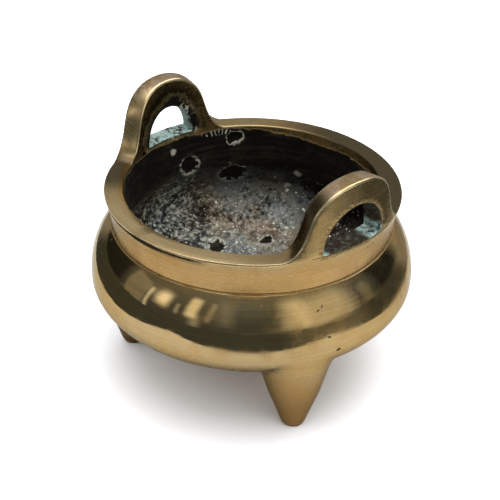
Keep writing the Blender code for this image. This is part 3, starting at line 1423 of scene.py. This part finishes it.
    def blacken_inside(self, on: Surface, coat: Coat) -> Field:
        """Soot inside, and dark olive film and crust on the handles' inner faces.

        Args:
            on: The surface.
            coat: The finish so far.

        Returns:
            Where the soot lies.
        """
        sheet = on.sheet
        olive = on.inside * on.above.ease(0.0, 1.5) * on.edge.ease(on.broad * 4.0, 2.5 + on.broad * 7.0)
        coat.lay(olive * 0.9, self.olive)
        ring = on.inside * on.above.ease(-2.0, 0.5)
        crumbled = on.opening + on.patches.sway(7.0) + on.fine.sway(5.0)
        ring = ring * (crumbled - on.y.ease(-8.0, 4.0)).fall(1.2, 5.5)
        flecks = ring * on.fine.ease(0.5, 0.62) * on.patches.ease(0.44, 0.54) * on.y.ease(-4.0, 1.0)
        ragged = on.patches.sway(4.0) + on.bands.sway(3.0)
        depth = 0.4 - abs(on.azimuth).ease(100.0, 150.0) * 2.6
        soot = on.inside * (on.above + 3.4 + depth + ragged).fall(-0.5, 0.6)
        dark = sheet.mix((on.bands * 0.6 + on.patches * 0.4).ease(0.46, 0.68), self.soot, self.soot_brown)
        coat.lay(soot.most(ring), dark)
        coat.lay(flecks, self.crust)
        coat.covered = coat.covered.most(soot).most(ring)
        return soot

    def strew_ash(self, on: Surface, coat: Coat, soot: Field) -> None:
        """Ash and crust on the lower wall and the floor, with grains of it all over.

        Args:
            on: The surface.
            coat: The finish so far.
            soot: Where the soot lies.
        """
        sheet = on.sheet
        left = abs(on.azimuth).about(178.0, 8.0, 30.0)
        near = on.azimuth.about(-5.0, 40.0, 75.0).most(on.azimuth.about(86.0, 16.0, 40.0))
        climb = on.z + on.patches.sway(44.0) + on.fine.sway(26.0) + on.broad.sway(16.0)
        ash = soot * (climb - left * 9.0 + near * 16.0).fall(38.0, 60.0)
        middle = (on.radius + on.broad.sway(24.0)).fall(17.0, 30.0)
        ashes = sheet.mix(on.broad.ease(0.42, 0.56), self.ash_blue, self.ash)
        ashes = sheet.mix(on.broad.ease(0.52, 0.62) * 0.8, ashes, self.ash_brown)
        ashes = sheet.mix(on.fine.ease(0.5, 0.64) * 0.6, ashes, self.crust)
        haze = 1 - on.z.ease(28.0, 33.0) * 0.55
        mottle = on.patches.sway(2.4) + on.fine.sway(2.6)
        ashes = sheet.shade(ashes, (mottle * (1.25 - haze * 0.75) + 0.62).most(0.05))
        flakes = (on.fine * 0.75 + on.patches * 0.4).ease(0.58, 0.72)
        flakes = soot * left * on.z.fall(50.0, 64.0) * flakes
        holes = left * (on.patches * 0.6 + on.fine * 0.4).ease(0.5, 0.44)
        film = (ash * (1 - middle * 0.80) * (1 - left * 0.75)).most(ash * (1 - holes) * left * 0.6)
        coat.lay(film.least(1.0), ashes)
        coat.lay(flakes * 0.85, self.crust)
        clump = on.patches.ease(0.40, 0.58)
        grains = sheet.grains(on.wavy, 380.0, 0.36, 0.26) * soot * clump * on.z.fall(40.0, 60.0)
        dust = sheet.grains(on.place, 1000.0, 0.5, 0.22) * soot * on.z.fall(36.0, 56.0)
        coat.lay((grains.most(dust * 0.75) * (0.5 + on.patches)).least(1.0), self.speck)

    def mark_wall(self, on: Surface, coat: Coat, casting: Casting) -> None:
        """Hollows with pale rims, spots of crust and faint strokes on the inner wall.

        Args:
            on: The surface.
            coat: The finish so far.
            casting: The casting, for the places of its marks.
        """
        sheet = on.sheet
        ragged = on.patches.sway(0.9) + on.fine.sway(0.7)
        hollow = self.nearest(sheet, casting, casting.hollows, on.wavy) + ragged
        core = on.inside * hollow.fall(0.85, 0.95)
        outer_rim = 1.06 + on.patches.sway(0.6)
        rim = on.inside * hollow.within(0.84, 0.94, outer_rim, outer_rim + 0.16)
        rim = rim * (on.broad * 0.5 + on.bands * 0.5).ease(0.40, 0.56)
        coat.lay(core * 0.95, sheet.mix(on.patches.ease(0.5, 0.7), self.soot, self.soot_brown))
        coat.lay((rim * (on.fine * 2.0 - 0.35)).least(0.85).most(0.0), self.crust)
        blob = on.inside * self.nearest(sheet, casting, self.blobs, on.wavy).fall(0.5, 1.1)
        coat.lay(blob * 0.7, self.crust)
        near = self.nearest(sheet, casting, [self.strokes], on.place)
        lean = on.broad.ease(0.44, 0.56).sway(3.6)
        slant = sheet.maths("SINE", on.along * 2.3 + on.above * lean + on.patches * 22.0)
        strokes = on.inside * near.fall(0.75, 1.0) * slant.ease(0.60, 0.92) * on.fine.ease(0.40, 0.48)
        coat.lay(strokes * 0.7, self.crust)

    def green_openings(self, on: Surface, coat: Coat) -> None:
        """Verdigris in the openings: all over the left sill, and at the ends of the right one.

        Args:
            on: The surface.
            coat: The finish so far.
        """
        sheet = on.sheet
        reveal = on.opening.fall(0.35, 0.8) * on.above.ease(0.2, 0.7)
        sill = reveal * on.above.fall(2.2, 5.0)
        left = on.x.fall(-5.0, 5.0)
        ends = (on.y + 1.8).ease(5.5, 9.0).most((on.y + 1.8).fall(-13.5, -11.0))
        green = sill * (left + (1 - left) * ends) * (on.fine * 0.5 + on.patches * 0.5).ease(0.36, 0.52)
        green = green.most(reveal * left * on.y.ease(-2.0, 6.0) * on.patches.ease(0.35, 0.5) * 0.8)
        base = sheet.mix(on.fine.ease(0.48, 0.62), self.soot, self.verdigris_dark)
        coat.lay(reveal * 0.95, base)
        coat.lay(green.least(1.0) * 0.9, sheet.shade(self.verdigris, 0.05 + on.fine * 1.7))
        coat.covered = coat.covered.most(reveal)

    def build(self, casting: Casting) -> bpy.types.Material:
        """Make the finish.

        Args:
            casting: The casting that it dresses, for the places of its marks.

        Returns:
            The material.
        """
        material, sheet = new_material("bronze_finish")
        on = Surface.read(sheet, casting)
        coat = self.lay_metal(on)
        self.film_lip(on, coat)
        self.cut_lap(on, coat, casting)
        soot = self.blacken_inside(on, coat)
        self.strew_ash(on, coat, soot)
        self.mark_wall(on, coat, casting)
        self.green_openings(on, coat)
        pit = on.outer * self.nearest(sheet, casting, self.pits, on.wavy).fall(0.6, 1.1)
        coat.lay(pit, self.pit)
        bare = 1 - coat.covered.most(pit)
        crusted = (on.inside * on.above.fall(-6.0, -2.0)).most(on.opening.fall(0.3, 3.0))
        height = coat.height - pit * 0.4 + crusted * (on.fine.sway(0.7) + on.patches.sway(0.8))
        bump = sheet.node("ShaderNodeBump", values={"Strength": 1.0, "Distance": MM, "Height": height})
        shader = sheet.node(
            "ShaderNodeBsdfPrincipled",
            values={
                "Base Color": coat.colour,
                "Metallic": bare,
                "Roughness": coat.rough * bare + (1 - bare) * (0.55 + on.fine * 0.3),
                "Normal": bump.outputs[0],
                "Specular IOR Level": 0.12,
                "Specular Tint": (0.68, 0.66, 0.60),
                "Anisotropic": 0.3,
                "Anisotropic Rotation": 0.25,
            },
        )
        sheet.close("ShaderNodeOutputMaterial", shader)
        return material


def main() -> None:
    """Build the studio and the censer."""
    logging.basicConfig(level=logging.INFO)
    Studio().build()
    log.info("studio ready")
    maker = Casting()
    casting = maker.build()
    casting.data.materials.clear()
    casting.data.materials.append(BronzeFinish().build(maker))
    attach(casting, "root")
    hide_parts("censer")
    log.info("%s: %d faces", casting.name, len(casting.data.polygons))


if __name__ == "__main__":
    main()
